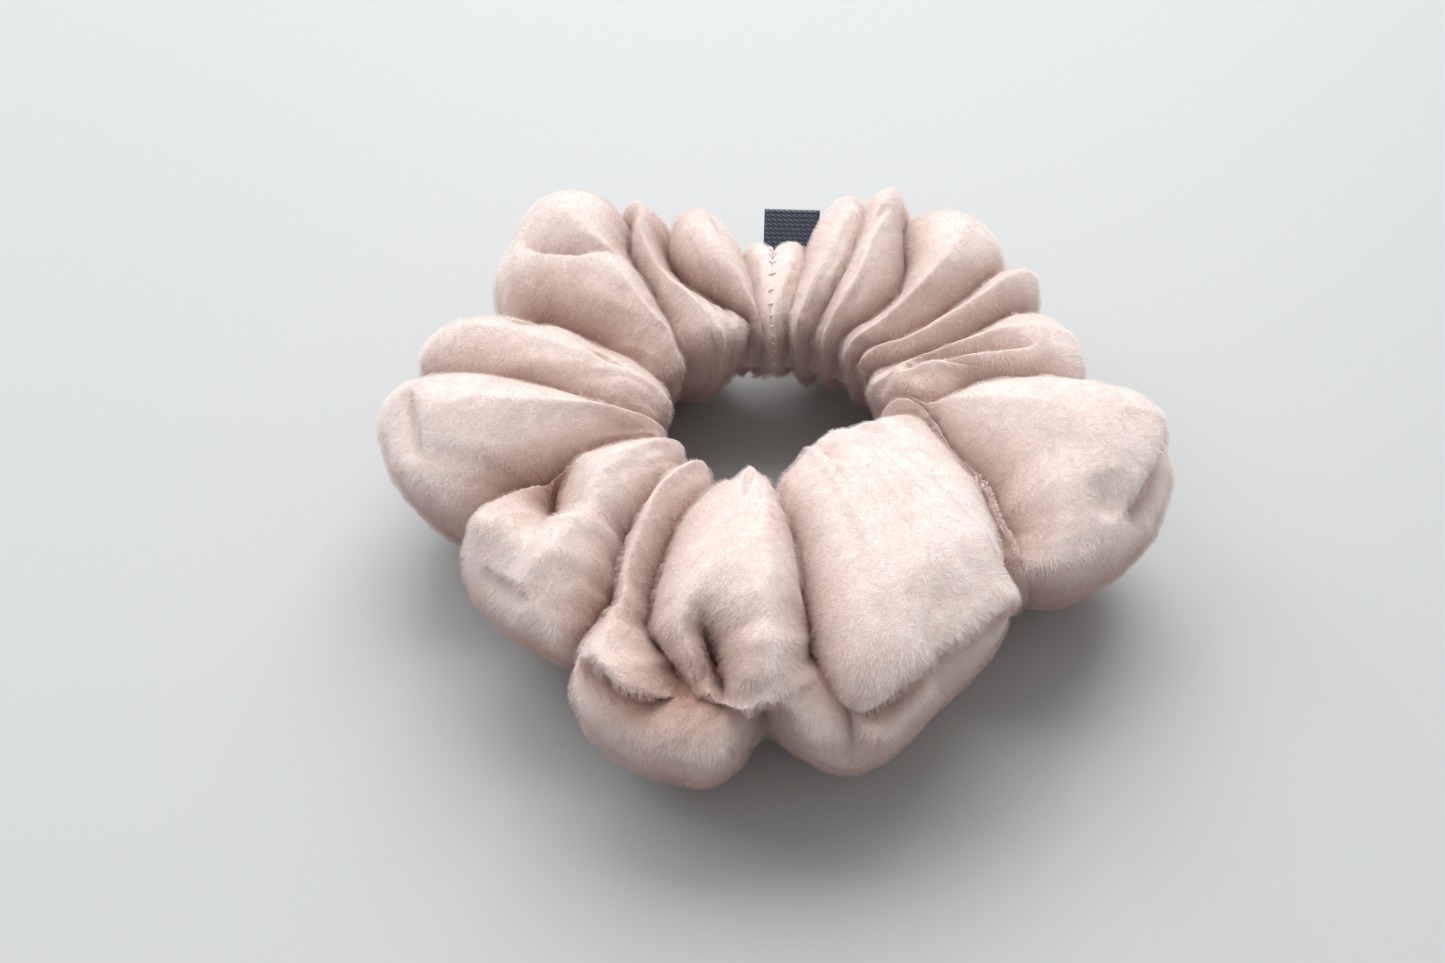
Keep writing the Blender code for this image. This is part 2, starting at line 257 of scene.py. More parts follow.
# The room that the elastic inside takes, in millimetres: no cloth of the hole's side goes past it
ELASTIC_INNER, ELASTIC_OUTER, ELASTIC_LEVEL, ELASTIC_REACH = 25.4, 30.0, 20.0, 6.0

# Sewing: the seam that runs lengthwise inside, and the stitches that close the tube, each over the
# named columns of the cloth on both sides of the closing seam, in and out by a share of their lift
SEAM_SECTION = 205.0
SEAM_INSET, SEAM_DIP, SEAM_DIP_RATE = 1.2 * MM, 0.15 * MM, 1.3
THREAD = 0.25 * MM
STITCH_EVERY, STITCH_LIFT = 6, 0.25 * MM
STITCH_COLUMNS, STITCH_SHARES = (-4, -3, 0, 2, 3), (-0.5, 0.9, 1.3, 0.9, -0.5)

# The label: reach and height of its middle line in millimetres, and where it bends
LABEL_BEARING = 87.5
LABEL_WIDTH, LABEL_SHIFT = 12.0 * MM, 3.0 * MM
LABEL_STITCHES, LABEL_STITCH_POINTS = 55.6, 41
LABEL_PATH = [(42.0, 18.2), (45.0, 17.2), (48.5, 16.1), (51.7, 16.2), (55.2, 18.4), (59.0, 21.9),
              (62.9, 25.4)]
LABEL_PLY, LABEL_GAP = 0.40 * MM, 0.40 * MM
LABEL_COLUMNS, LABEL_POINTS = 13, 40
LABEL_TIP_POINTS, LABEL_TIP_TURN = 9, 75
LABEL_PINCH, LABEL_PINCH_POINTS = 0.35, 8

# Painted shade: the cloth's colour turns warmer and darker from this deep in a fold and is full so much
# deeper, in millimetres; a share of it also comes on as the cloth turns away from the top, as painted shade
# on the sides
PAINTED_SHADE_FROM, PAINTED_SHADE_REACH = 3.0, 12.5
PAINTED_SHADE_COLOUR = (0.46, 0.25, 0.18)
PAINTED_SIDE_SHADE, PAINTED_SIDE_SHADE_UP = 0.62, 0.55
# the colour attribute that carries the painted shade of the folds and the sides
PAINTED_SHADE_ATTRIBUTE = "folded"

# Where the loop is open, how far the cloth goes on inside the next piece, and how deep under it
SLEEVE_COLUMNS, SLEEVE_DEPTH = 38, 0.9 * MM

SEAM_GATHER, LABEL_TAB = "seam_gather", "label_tab"

# Colours: the velour's two tones and its streaks, the hairs' tones, the threads, elastic, label and table
VELOUR_TONES = (0.87, 0.74, 0.69), (0.94, 0.84, 0.80)
STREAK_TONES = (0.90, 0.86, 0.84), (1.0, 1.0, 1.0)
PILE_TONES = (0.95, 0.865, 0.835), (0.99, 0.945, 0.925)
MATCHING_THREAD, SEWING_THREAD = (0.86, 0.68, 0.61), (0.86, 0.70, 0.64)
ELASTIC_TONES = (0.80, 0.79, 0.76), (0.93, 0.92, 0.90)
NAVY_TONES = (0.018, 0.028, 0.052), (0.055, 0.078, 0.125)
TABLE_GREY = (0.45, 0.465, 0.47, 1.0)

# Lights: name, place, size, power and colour; then the pale walls all round
LIGHTS = [
    ("window", (0.10, 0.72, 0.92), 1.0, 15.5, (1.0, 1.0, 1.0)),
    ("side", (-0.7, 0.35, 0.90), 0.8, 6.0, (0.98, 0.99, 1.0)),
]
WALLS, WALLS_STRENGTH = (1.0, 0.985, 0.97, 1.0), 0.50


def polar(radius, bearing, height):
    angle = np.radians(bearing)
    return np.stack([radius * np.cos(angle), radius * np.sin(angle), height + 0 * angle], -1)


# ---------------------------------------------------------------- the folded ring

def outline_at(bearing, column):
    """The outline's reach or height at any bearing, smoothed so that it has no corners."""
    first = OUTLINE[0][0]
    knots = [row[0] for row in OUTLINE] + [first + 360]
    values = [row[column] for row in OUTLINE] + [OUTLINE[0][column]]
    places = np.arange(first, first + 360, OUTLINE_STEP)
    plain = np.interp(places, knots, values)
    spread = OUTLINE_SPREAD
    kernel = np.exp(-0.5 * (np.arange(-spread, spread + 1) / OUTLINE_SOFTNESS) ** 2)
    wrapped = np.concatenate([plain[-spread:], plain, plain[:spread]])
    smooth = np.convolve(wrapped, kernel / kernel.sum(), "valid")
    places, smooth = np.append(places, first + 360), np.append(smooth, smooth[0])
    return np.interp((bearing - first) % 360 + first, places, smooth)


def rounded(value):
    return np.sign(value) * np.abs(value) ** SQUARENESS


def plain_ring(bearing, section):
    """Points and outward directions of the ring before it is folded, in millimetres."""
    reach, height = outline_at(bearing, 1), outline_at(bearing, 2)
    pinch = np.exp(-((bearing - WAIST_BEARING + 180) % 360 - 180) ** 2 / (2 * WAIST_SPREAD ** 2))
    hole = HOLE + WAIST_HOLE * pinch
    under = UNDERSIDE + WAIST_RISE * pinch
    angle = np.radians(section)
    across = rounded(np.cos(angle))
    level = (height + under) / 2 + (height - under) / 2 * rounded(np.sin(angle))
    tuck = np.clip((WIDEST - level) / WIDEST, 0, 1) ** TUCK_CURVE * (1 - pinch)
    lean = np.clip((level - LEAN_FROM) / LEAN_FROM, 0, 1)
    radius = (hole + reach) / 2 + (reach - hole) / 2 * across
    radius -= TUCK_OUTSIDE * tuck * np.clip(across, 0, 1)
    radius += (TUCK_INSIDE * tuck - LEAN_INSIDE * lean) * np.clip(-across, 0, 1)
    return polar(radius, bearing, level), polar(np.cos(angle), bearing, np.sin(angle))


def nearest_on_line(points, line, weights):
    """How far each point is from a line, the line's weight there, and the direction to it."""
    best = np.full(points.shape[:-1], 1e9)
    weight = np.zeros(points.shape[:-1])
    way = np.zeros(points.shape)
    for start, end, first, last in zip(line[:-1], line[1:], weights[:-1], weights[1:]):
        along = end - start
        share = np.clip(((points - start) @ along) / max(along @ along, 1e-9), 0, 1)
        offset = start + share[..., None] * along - points
        distance = np.linalg.norm(offset, axis=-1)
        closer = distance < best
        best = np.where(closer, distance, best)
        weight = np.where(closer, first + (last - first) * share, weight)
        way = np.where(closer[..., None], offset, way)
    return best, weight, way / np.maximum(best, 1e-6)[..., None]


def valley_line(knots):
    """A valley as a closed line of points with their depths, its knots joined smoothly."""
    start = knots[0][0]
    sections = np.array([knot[0] for knot in knots] + [start + 360], float)
    bearings = np.array([knot[1] for knot in knots] + [knots[0][1]], float)
    depths = np.array([knot[2] for knot in knots] + [knots[0][2]], float)
    places = np.arange(start, start + 361, VALLEY_STEP)
    kernel = np.array([0.25, 0.5, 0.25])
    rounds = []
    for values in (bearings, depths):
        plain = np.interp(places, sections, values)
        rounds.append(np.convolve(np.concatenate([plain[-2:-1], plain, plain[1:2]]), kernel, "valid"))
    line, _ = plain_ring(rounds[0], places)
    return line, rounds[1] * VALLEY_DEPTH, rounds[0].mean()


def fold_line(depth, knots):
    """A short fold as a line of points, its depth fading out at both ends."""
    share = np.linspace(0, 1, FOLD_POINTS)
    stops = np.linspace(0, 1, len(knots))
    bearings = np.interp(share, stops, [knot[0] for knot in knots])
    sections = np.interp(share, stops, [knot[1] for knot in knots])
    line, _ = plain_ring(bearings, sections)
    fade = np.sin(np.pi * (FOLD_FADE_FROM + (1 - 2 * FOLD_FADE_FROM) * share)) ** FOLD_FADE_CURVE
    return line, depth * fade, bearings.mean()


def folded_ring(bearing, section):
    """The ring with its valleys and folds pressed in and the cloth beside them drawn over them."""
    points, outward = plain_ring(bearing, section)
    depth, lift, side = np.zeros(bearing.shape), np.zeros(bearing.shape), np.zeros(points.shape)
    lines = [(width * VALLEY_WIDTH, *valley_line(knots)) for width, knots in VALLEYS.values()]
    lines += [(width, *fold_line(deep, knots)) for width, deep, knots in FOLDS]
    for width, line, depths, middle in lines:
        apart = np.abs((bearing[:, 0] - middle + 180) % 360 - 180)
        near = np.where(apart < FOLD_REACH)[0]
        distance, weight, way = nearest_on_line(points[near], line, depths)
        away = distance / width
        if depths.min() < 0:
            lift[near] -= weight * np.exp(-away ** 2)
            continue
        depth[near] = np.maximum(depth[near], weight * np.exp(-away))
        side[near] += way * (SIDE_PULL * weight * away * np.exp(-away))[..., None]
    folded = points + outward * (lift - depth)[..., None] + side
    folded[..., 2] = np.maximum(folded[..., 2], FOLD_CLEARANCE)
    return folded * MM, depth


def grid(columns, rows):
    """Bearings and section angles of a grid over the tube, which starts and ends at the closing seam."""
    start = VALLEYS["seam"][1][0][1]
    bearings = start + 360 * np.arange(columns + 1) / columns
    sections = 360 * np.arange(rows) / rows
    return np.meshgrid(bearings, sections, indexing="ij")


def grid_faces(columns, rows):
    faces = []
    for column in range(columns):
        for row in range(rows):
            up = (row + 1) % rows
            here, there = column * rows, (column + 1) * rows
            faces.append((here + row, there + row, there + up, here + up))
    return faces


def mesh_object(name, points, faces):
    mesh = bpy.data.meshes.new(name)
    mesh.from_pydata(points.reshape(-1, 3).tolist(), [], faces)
    mesh.update()
    obj = bpy.data.objects.new(name, mesh)
    bpy.context.scene.collection.objects.link(obj)
    return obj


def plumped(points, depth, sections):
    """How a short cloth simulation moves the folded ring: the cloth grows a little and settles."""
    columns, rows = points.shape[0] - 1, points.shape[1]
    cloth = mesh_object("cloth_sim", points * SIM_SCALE, grid_faces(columns, rows))
    held = cloth.vertex_groups.new(name="held")
    inside = np.abs(sections[0] - 180) < HELD_SECTIONS
    on_elastic = inside[None, :] & (depth > HELD_DEPTH)
    on_elastic[0], on_elastic[-1] = True, True
    held.add([int(k) for k in np.flatnonzero(on_elastic.ravel())], 1.0, "REPLACE")
    corners = np.array([(-3, -3, 0), (3, -3, 0), (3, 3, 0), (-3, 3, 0)], float)
    table = mesh_object("table_sim", corners, [(0, 1, 2, 3)])
    table.modifiers.new("collision", "COLLISION")
    table.collision.thickness_outer = 0.003
    modifier = cloth.modifiers.new("cloth", "CLOTH")
    settings, contact = modifier.settings, modifier.collision_settings
    settings.quality = 6
    settings.mass = 0.15
    settings.air_damping = 4
    settings.tension_stiffness = settings.compression_stiffness = 15
    settings.shear_stiffness = 6
    settings.bending_stiffness = 50
    settings.vertex_group_mass = "held"
    settings.shrink_min = settings.shrink_max = -SIM_GROWTH
    contact.use_self_collision = True
    contact.self_distance_min = SIM_SELF_GAP * SIM_SCALE
    contact.distance_min = 0.004
    scene = bpy.context.scene
    scene.frame_end = modifier.point_cache.frame_end = SIM_FRAMES
    for frame_number in range(1, SIM_FRAMES + 1):
        scene.frame_set(frame_number)
    shown = cloth.evaluated_get(bpy.context.evaluated_depsgraph_get())
    moved = np.empty(points.size, np.float32)
    shown.data.vertices.foreach_get("co", moved)
    for obj in (cloth, table):
        bpy.data.objects.remove(obj)
    scene.frame_set(1)
    return moved.reshape(points.shape) / SIM_SCALE - points


def finer(field, columns, rows):
    """A coarse grid's field at a finer grid's places, wrapped round the section and then smoothed."""
    coarse_columns, coarse_rows = field.shape[0] - 1, field.shape[1]
    wrapped = np.concatenate([field, field[:, :1]], 1)
    places = np.arange(columns + 1) * coarse_columns / columns
    low = np.minimum(places.astype(int), coarse_columns - 1)
    part = (places - low)[:, None, None]
    across = wrapped[low] * (1 - part) + wrapped[low + 1] * part
    places = np.arange(rows) * coarse_rows / rows
    low = places.astype(int)
    part = (places - low)[None, :, None]
    result = across[:, low] * (1 - part) + across[:, low + 1] * part
    for _ in range(SMOOTHINGS):
        inner = 0.25 * result[:-2] + 0.5 * result[1:-1] + 0.25 * result[2:]
        result = np.concatenate([result[:1], inner, result[-1:]])
        result = 0.25 * np.roll(result, 1, 1) + 0.5 * result + 0.25 * np.roll(result, -1, 1)
    return result


def over_elastic(points):
    """The elastic inside stops the cloth on the hole's side, so no fold reaches it."""
    radius = np.hypot(points[..., 0], points[..., 1])
    limit = ELASTIC_INNER * MM
    level = np.abs(points[..., 2] - ELASTIC_LEVEL * MM) < ELASTIC_REACH * MM
    beside = level & (radius < ELASTIC_OUTER * MM)
    scale = np.where(beside & (radius > limit), limit / radius, 1.0)
    return points * np.stack([scale, scale, np.ones_like(scale)], -1)


def cover_surface():
    """The cover's points over the fine grid, in the ring's own frame, and each point's share of painted shade
    from how deep in a fold it is.
    """
    points, depth = folded_ring(*grid(FINE_COLUMNS, FINE_ROWS))
    bearings, sections = grid(SIM_COLUMNS, SIM_ROWS)
    coarse, coarse_depth = folded_ring(bearings, sections)
    points += SIM_SHARE * finer(plumped(coarse, coarse_depth, sections), FINE_COLUMNS, FINE_ROWS)
    points = over_elastic(points)
    points[-1] = points[0]
    points[..., 2] = np.maximum(points[..., 2], CLOTH_CLEARANCE * MM)
    # painted shade in the creases: the deeper in a fold, the darker and warmer
    return points, np.clip((depth - PAINTED_SHADE_FROM) / PAINTED_SHADE_REACH, 0, 1)


def grid_normals(points):
    """Outward directions over the closed grid, so that pieces cut from it shade as one cloth."""
    closed = points[:-1]
    along = np.roll(closed, -1, 0) - np.roll(closed, 1, 0)
    around = np.roll(closed, -1, 1) - np.roll(closed, 1, 1)
    normals = np.cross(along, around)
    normals /= np.maximum(np.linalg.norm(normals, axis=-1, keepdims=True), 1e-12)
    return np.concatenate([normals, normals[:1]])


# ---------------------------------------------------------------- materials

class Nodes:
    """A short way to write a node tree."""

    def __init__(self, name):
        self.material = bpy.data.materials.new(name)
        self.material.use_nodes = True
        self.tree = self.material.node_tree
        self.shader = self.tree.nodes["Principled BSDF"]

    def add(self, kind, links=(), **values):
        node = self.tree.nodes.new(kind)
        for key, value in values.items():
            if hasattr(node, key):
                setattr(node, key, value)
            else:
                node.inputs[key.replace("_", " ")].default_value = value
        for socket, source in links:
            self.tree.links.new(source, node.inputs[socket])
        return node

    def ramp(self, source, stops):
        """Two colours at their positions, by the source's value."""
        node = self.add("ShaderNodeValToRGB", [("Fac", source)])
        for element, (position, colour) in zip(node.color_ramp.elements, stops):
            element.position = position
            element.color = (*colour, 1)
        return node.outputs["Color"]

    def mixed(self, first, second, way):
        node = self.add("ShaderNodeMix", data_type="RGBA", blend_type=way)
        node.inputs["Factor"].default_value = 1.0
        colours = [socket for socket in node.inputs if socket.type == "RGBA"]
        self.tree.links.new(first, colours[0])
        self.tree.links.new(second, colours[1])
        return next(socket for socket in node.outputs if socket.type == "RGBA")

    def link(self, source, socket):
        self.tree.links.new(source, self.shader.inputs[socket])


def velour(name):
    """Plush with a short pile: streaky nap, lighter where it lies flat, and painted shade, warmer and darker,
    in the folds and on the sides.
    """
    nodes = Nodes(name)
    place = nodes.add("ShaderNodeTexCoord").outputs["Object"]
    bent = nodes.add("ShaderNodeTexNoise", [("Vector", place)], Scale=260.0, Detail=2.0)
    warp = nodes.add("ShaderNodeVectorMath", [(0, bent.outputs["Color"])], operation="SCALE")
    warp.inputs["Scale"].default_value = 0.004
    moved = nodes.add("ShaderNodeVectorMath", [(0, place), (1, warp.outputs[0])], operation="ADD").outputs[0]
    streak_place = nodes.add("ShaderNodeMapping", [("Vector", moved)])
    streak_place.inputs["Scale"].default_value = (1.0, 0.45, 1.0)
    streaks = nodes.add("ShaderNodeTexNoise", [("Vector", streak_place.outputs[0])], Scale=1100.0, Detail=3.0,
                        Roughness=0.6)
    fibres = nodes.add("ShaderNodeTexNoise", [("Vector", moved)], Scale=4200.0, Detail=2.0)
    patches = nodes.add("ShaderNodeTexNoise", [("Vector", place)], Scale=55.0, Detail=3.0, Roughness=0.55)
    base = nodes.ramp(patches.outputs["Fac"], zip((0.32, 0.68), VELOUR_TONES))
    tone = nodes.ramp(streaks.outputs["Fac"], zip((0.30, 0.70), STREAK_TONES))
    napped = nodes.mixed(base, tone, "MULTIPLY")
    # painted shade: a colour attribute darkens and warms the cloth in the folds and on the sides turned away
    # from the top
    painted_shade = nodes.add("ShaderNodeAttribute", attribute_name=PAINTED_SHADE_ATTRIBUTE).outputs["Color"]
    nodes.link(nodes.mixed(napped, painted_shade, "MULTIPLY"), "Base Color")
    height = nodes.add("ShaderNodeMath", [(0, streaks.outputs["Fac"]), (1, fibres.outputs["Fac"])],
                       operation="ADD")
    bump = nodes.add("ShaderNodeBump", [("Height", height.outputs[0])], Strength=0.55, Distance=0.0006)
    nodes.link(bump.outputs["Normal"], "Normal")
    nodes.shader.inputs["Roughness"].default_value = 0.95
    nodes.shader.inputs["Specular IOR Level"].default_value = 0.15
    nodes.shader.inputs["Sheen Weight"].default_value = 0.9
    nodes.shader.inputs["Sheen Roughness"].default_value = 0.35
    nodes.shader.inputs["Sheen Tint"].default_value = (1.0, 0.96, 0.95, 1.0)
    nodes.shader.inputs["Subsurface Weight"].default_value = 0.12
    nodes.shader.inputs["Subsurface Radius"].default_value = (1.0, 0.45, 0.35)
    nodes.shader.inputs["Subsurface Scale"].default_value = 0.0015
    return nodes.material


def pile_fibre(name):
    """The pile's hairs: paler than the cloth, and with the same painted shade as it in the folds and on the
    sides.
    """
    nodes = Nodes(name)
    place = nodes.add("ShaderNodeTexCoord").outputs["Object"]
    patches = nodes.add("ShaderNodeTexNoise", [("Vector", place)], Scale=90.0, Detail=2.0)
    pale = nodes.ramp(patches.outputs["Fac"], zip((0.3, 0.7), PILE_TONES))
    # painted shade from the same colour attribute as the cloth's
    painted_shade = nodes.add("ShaderNodeAttribute", attribute_name=PAINTED_SHADE_ATTRIBUTE).outputs["Color"]
    nodes.link(nodes.mixed(pale, painted_shade, "MULTIPLY"), "Base Color")
    nodes.shader.inputs["Roughness"].default_value = 0.8
    nodes.shader.inputs["Specular IOR Level"].default_value = 0.2
    nodes.shader.inputs["Sheen Weight"].default_value = 0.3
    return nodes.material


def woven(name, warp_colour, weft_colour, pitch, roughness):
    """A flat weave: warp and weft threads of two tones crossing at the given pitch."""
    nodes = Nodes(name)
    place = nodes.add("ShaderNodeTexCoord").outputs["Object"]
    scale = 1.0 / pitch / 6.28
    warp, weft = [nodes.add("ShaderNodeTexWave", [("Vector", place)], Scale=scale, Distortion=0.3,
                            bands_direction=way) for way in ("DIAGONAL", "Z")]
    cross = nodes.add("ShaderNodeMath", [(0, warp.outputs["Fac"]), (1, weft.outputs["Fac"])],
                      operation="MULTIPLY")
    nodes.link(nodes.ramp(cross.outputs[0], [(0.1, warp_colour), (0.8, weft_colour)]), "Base Color")
    bump = nodes.add("ShaderNodeBump", [("Height", cross.outputs[0])], Strength=0.6, Distance=0.0002)
    nodes.link(bump.outputs["Normal"], "Normal")
    nodes.shader.inputs["Roughness"].default_value = roughness
    nodes.shader.inputs["Sheen Weight"].default_value = 0.2
    return nodes.material


def thread_material(name, colour):
    """Sewing thread: fine twisted plies."""
    nodes = Nodes(name)
    place = nodes.add("ShaderNodeTexCoord").outputs["Object"]
    twist = nodes.add("ShaderNodeTexWave", [("Vector", place)], Scale=700.0, Distortion=1.0,
                      bands_direction="DIAGONAL")
    dark = tuple(0.8 * channel for channel in colour)
    nodes.link(nodes.ramp(twist.outputs["Fac"], [(0.2, dark), (0.8, colour)]), "Base Color")
    bump = nodes.add("ShaderNodeBump", [("Height", twist.outputs["Fac"])], Strength=0.5, Distance=0.0001)
    nodes.link(bump.outputs["Normal"], "Normal")
    nodes.shader.inputs["Roughness"].default_value = 0.6
    nodes.shader.inputs["Sheen Weight"].default_value = 0.15
    return nodes.material


def label_weave():
    """A close plain damask weave in dark navy."""
    nodes = Nodes("navy_damask")
    place = nodes.add("ShaderNodeTexCoord").outputs["Object"]
    twill = nodes.add("ShaderNodeTexWave", [("Vector", place)], Scale=560.0, Distortion=0.4,
                      bands_direction="DIAGONAL")
    weft = nodes.add("ShaderNodeTexWave", [("Vector", place)], Scale=480.0, Distortion=0.4,
                     bands_direction="Z")
    cross = nodes.add("ShaderNodeMath", [(0, twill.outputs["Fac"]), (1, weft.outputs["Fac"])],
                      operation="MULTIPLY")
    ground = nodes.ramp(cross.outputs[0], zip((0.1, 0.8), NAVY_TONES))
    nodes.link(ground, "Base Color")
    bump = nodes.add("ShaderNodeBump", [("Height", cross.outputs[0])], Strength=0.6, Distance=0.0002)
    nodes.link(bump.outputs["Normal"], "Normal")
    nodes.shader.inputs["Roughness"].default_value = 0.5
    nodes.shader.inputs["Sheen Weight"].default_value = 0.25
    return nodes.material


def table_top():
    nodes = Nodes("table_top")
    place = nodes.add("ShaderNodeTexCoord").outputs["Object"]
    grain = nodes.add("ShaderNodeTexNoise", [("Vector", place)], Scale=900.0, Detail=2.0)
    bump = nodes.add("ShaderNodeBump", [("Height", grain.outputs["Fac"])], Strength=0.12, Distance=0.0002)
    nodes.link(bump.outputs["Normal"], "Normal")
    nodes.shader.inputs["Base Color"].default_value = TABLE_GREY
    nodes.shader.inputs["Roughness"].default_value = 0.55
    nodes.shader.inputs["Specular IOR Level"].default_value = 0.4
    return nodes.material


# ---------------------------------------------------------------- the gathers

def gathers_of(frame):
    """The ring's centre, and each gather's number, body and middle bearing, from its length of elastic."""
    elastics = sorted(name for name in frame["nodes"] if name.startswith("elastic_length_"))
    boxes = [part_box(name) for name in elastics]
    low = [min(box[0][axis] for box in boxes) for axis in (0, 1)]
    high = [max(box[1][axis] for box in boxes) for axis in (0, 1)]
    centre = np.array([(a + b) / 2 for a, b in zip(low, high)] + [0.0])
    gathers = []
    for name in elastics:
        body = next(key for key, nodes in frame["record"]["behaviour"]["bodies"].items() if name in nodes)
        corners = np.array([vertex.co for vertex in bpy.data.objects[name].data.vertices])
        angles = np.degrees(np.arctan2(corners[:, 1] - centre[1], corners[:, 0] - centre[0]))
        first = angles[0]
        spread = (angles - first + 180) % 360 - 180
        gathers.append((name[-2:], body, first + (spread.min() + spread.max()) / 2))
    return centre, gathers


def joined(frame, body, other):
    return any({joint["parent"], joint["child"]} == {body, other} for joint in frame["joints"])


def blend_at_valley(piece):
    """Bakes the piece's placement into its mesh."""
    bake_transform(piece)


def cut_piece(name, points, normals, folded, first, last, material):
    """One piece of the cover, between two columns of the fine grid."""
    rows = points.shape[1]
    part = points[first:last + 1]
    piece = mesh_object(name, part, grid_faces(last - first, rows))
    piece.data.shade_smooth()
    piece.data.normals_split_custom_set_from_vertices(normals[first:last + 1].reshape(-1, 3).tolist())
    corners = np.empty(len(piece.data.loops), np.int32)
    piece.data.loops.foreach_get("vertex_index", corners)
    # painted shade: each corner's colour attribute goes from white towards the warm dark shade colour by its
    # share
    share = folded[first:last + 1].reshape(-1, 1)[corners]
    colours = np.concatenate([1 - share * (1 - np.array(PAINTED_SHADE_COLOUR)), np.ones_like(share)], 1)
    painted_shade_layer = piece.data.color_attributes.new(name=PAINTED_SHADE_ATTRIBUTE, type="BYTE_COLOR", domain="CORNER")
    painted_shade_layer.data.foreach_set("color", colours.astype(np.float32).ravel())
    piece.data.materials.append(material)
    return piece


def add_sleeve(piece, points, normals, start, way):
    """Where the loop is open, the cloth goes on inside the next piece, to fill the gap as the loop grows."""
    rows = points.shape[1]
    bm = bmesh.new()
    bm.from_mesh(piece.data)
    bm.verts.ensure_lookup_table()
    corners = list(bm.verts)
    last = corners[-rows:] if way > 0 else corners[:rows]
    for step in range(1, SLEEVE_COLUMNS):
        column = start + way * step
        inward = SLEEVE_DEPTH * min(1.0, step / 2)
        new = [bm.verts.new(corner) for corner in points[column] - inward * normals[column]]
        for row in range(rows):
            up = (row + 1) % rows
            ring = (last[row], new[row], new[up], last[up])
            bm.faces.new(ring if way > 0 else ring[::-1]).smooth = True
        last = new
    bm.to_mesh(piece.data)
    bm.free()


def add_pile(piece, fibre, share, seed):
    """Short hairs over a piece, leaning and curling a little, as brushed pile does."""
    piece.data.materials.append(fibre)
    modifier = piece.modifiers.new("pile", "PARTICLE_SYSTEM")
    system = modifier.particle_system
    system.seed = seed
    hair = system.settings
    hair.type = "HAIR"
    hair.count = round(PILE_GUIDES * share)
    hair.hair_length = PILE_LENGTH
    hair.hair_step = 2
    hair.render_step = 2
    hair.use_advanced_hair = True
    hair.normal_factor = 0.20 * PILE_LENGTH
    hair.factor_random = 0.07 * PILE_LENGTH
    hair.object_align_factor = (-0.02 * PILE_LENGTH, -0.08 * PILE_LENGTH, -0.06 * PILE_LENGTH)
    hair.child_type = "INTERPOLATED"
    hair.child_percent = 0
    hair.rendered_child_count = PILE_STRANDS_PER_GUIDE
    hair.child_length = 0.9
    hair.roughness_1 = 0.10 * PILE_LENGTH
    hair.roughness_2 = 0.25 * PILE_LENGTH
    hair.material = 2
    hair.root_radius = 1.0
    hair.tip_radius = 0.35
    hair.radius_scale = PILE_RADIUS


def add_cover(frame, centre, gathers):
    plush, fibre = velour("velour"), pile_fibre("velour_pile")
    points, folded = cover_surface()
    normals = grid_normals(points)
    points = points + centre
    # painted shade on the sides: the share also grows as the cloth turns away from the top
    folded = np.maximum(folded, PAINTED_SIDE_SHADE * np.clip(PAINTED_SIDE_SHADE_UP - normals[..., 2], 0, 1))
    start = VALLEYS["seam"][1][0][1]
    columns = [round(((gather[2] - start) % 360) / 360 * FINE_COLUMNS) for gather in gathers]
    columns[0] = 0
    columns.append(FINE_COLUMNS)
    pieces = []
    for index, here in enumerate(gathers):
        there = gathers[(index + 1) % len(gathers)]
        first, last = columns[index], columns[index + 1]
        name = f"cover_{here[0]}"
        if joined(frame, here[1], there[1]):
            piece = cut_piece(name, points, normals, folded, first, last, plush)
            blend_at_valley(piece)
            pieces.append((piece, here))
            continue
        middle = (first + last) // 2
        near = cut_piece(name, points, normals, folded, first, middle, plush)
        add_sleeve(near, points, normals, middle, 1)
        far = cut_piece(f"cover_{here[0]}_far_side", points, normals, folded, middle, last, plush)
        add_sleeve(far, points, normals, middle, -1)
        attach(near, here[1])
        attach(far, there[1])
        pieces += [(near, here), (far, here)]
    areas = [sum(face.area for face in piece.data.polygons) for piece, _ in pieces]
    for number, (piece, here) in enumerate(pieces):
        share = areas[number] / sum(areas)
        add_pile(piece, fibre, share, number + 1)
        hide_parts(f"cover_gather_{here[0]}")
    thread = thread_material("matching_thread", MATCHING_THREAD)
    add_seam_threads(frame, gathers, points, normals, columns, thread)
    add_closing_stitches(points, normals, thread)
    add_label(centre, thread)


def tube(name, line, radius, material, sides=6, closed=False):
    """A round thread along a line of points."""
    line = np.asarray(line, float)
    ahead = np.roll(line, -1, 0) - np.roll(line, 1, 0)
    if not closed:
        ahead[0], ahead[-1] = line[1] - line[0], line[-1] - line[-2]
    ahead /= np.linalg.norm(ahead, axis=1, keepdims=True)
    reference = np.where(np.abs(ahead[:, 2:]) < 0.9, [[0, 0, 1]], [[1, 0, 0]])
    first = np.cross(ahead, reference)
    first /= np.linalg.norm(first, axis=1, keepdims=True)
    second = np.cross(ahead, first)
    turns = 2 * np.pi * np.arange(sides) / sides
    rings = [line + radius * (np.cos(turn) * first + np.sin(turn) * second) for turn in turns]
    points = np.stack(rings, 1)
    faces = grid_faces(len(line) - 1, sides)
    if not closed:
        faces.append(tuple(reversed(range(sides))))
        faces.append(tuple(range((len(line) - 1) * sides, len(line) * sides)))
    obj = mesh_object(name, points, faces)
    obj.data.shade_smooth()
    obj.data.materials.append(material)
    return obj


